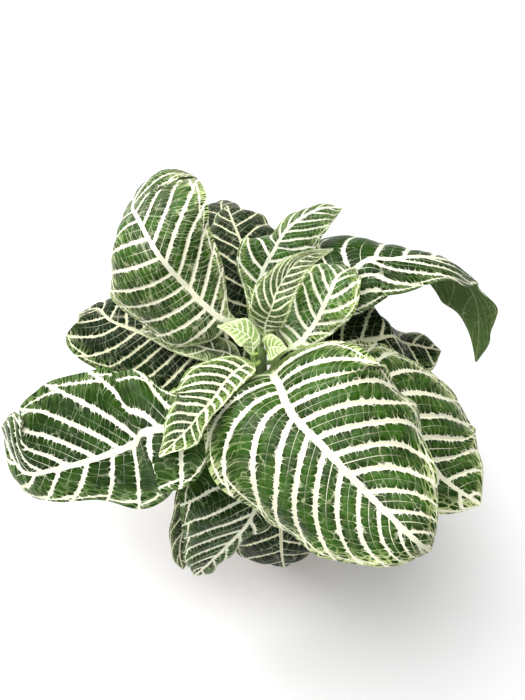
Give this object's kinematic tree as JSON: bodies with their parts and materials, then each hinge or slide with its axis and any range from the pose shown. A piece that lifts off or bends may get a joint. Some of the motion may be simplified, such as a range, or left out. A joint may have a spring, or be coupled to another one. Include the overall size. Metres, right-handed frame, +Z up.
{
  "type": "potted zebra plant",
  "caption": "Potted foliage plant with one upright stem, broad waved leaves striped along their ribs, and a plain round clay pot filled with soil.",
  "frame": {"origin": "centre of the pot's flat underside", "axes": "+Z up along the pot's axis and the stem; the viewer stands towards -Y and +X is to the right"},
  "size_m": [0.4618, 0.4137, 0.365],
  "materials": {
    "pot": "unglazed fired clay, matt",
    "soil": "loose dark potting soil, matt",
    "stem": "green stem, satin",
    "leaf_newest_left": "bright yellow-green, newly opened, cream bands on the ribs",
    "leaf_newest_right": "bright yellow-green, newly opened, cream bands on the ribs",
    "leaf_young_back": "fresh green, satin, cream bands on the ribs",
    "leaf_young_front": "fresh green, satin, cream bands on the ribs",
    "leaf_bright_right": "fresh green, glossy, cream bands on the ribs",
    "leaf_back_left": "mid green, glossy, cream bands on the ribs",
    "leaf_front_right": "mid green, glossy, cream bands on the ribs",
    "leaf_back_upright": "mid green, glossy, cream bands on the ribs",
    "leaf_left": "mid green, glossy, cream bands on the ribs",
    "leaf_arching_right": "very dark green, glossy, cream bands on the ribs",
    "leaf_back": "very dark green, glossy, cream bands on the ribs",
    "leaf_low_left": "very dark green, glossy, cream bands on the ribs",
    "leaf_right": "mid green, glossy, cream bands on the ribs",
    "leaf_low_right": "very dark green, glossy, cream bands on the ribs",
    "leaf_low_back": "very dark green, glossy, cream bands on the ribs",
    "leaf_low_front": "very dark green, glossy, cream bands on the ribs",
    "leaf_low_front_right": "very dark green, glossy, cream bands on the ribs",
    "leaf_edge_on": "very dark green, glossy, cream bands on the ribs",
    "leaf_small_left": "mid green, glossy, cream bands on the ribs",
    "leaf_curled_small": "fresh green, satin, cream bands on the ribs"
  },
  "bodies": {
    "root": {"pot": "pot", "soil": "soil", "stem": "stem", "leaf_newest_left": "leaf_newest_left", "leaf_newest_right": "leaf_newest_right", "leaf_young_back": "leaf_young_back", "leaf_young_front": "leaf_young_front", "leaf_bright_right": "leaf_bright_right", "leaf_back_left": "leaf_back_left", "leaf_front_right": "leaf_front_right", "leaf_back_upright": "leaf_back_upright", "leaf_left": "leaf_left", "leaf_arching_right": "leaf_arching_right", "leaf_back": "leaf_back", "leaf_low_left": "leaf_low_left", "leaf_right": "leaf_right", "leaf_low_right": "leaf_low_right", "leaf_low_back": "leaf_low_back", "leaf_low_front": "leaf_low_front", "leaf_low_front_right": "leaf_low_front_right", "leaf_edge_on": "leaf_edge_on", "leaf_small_left": "leaf_small_left", "leaf_curled_small": "leaf_curled_small"}
  },
  "joints": []
}
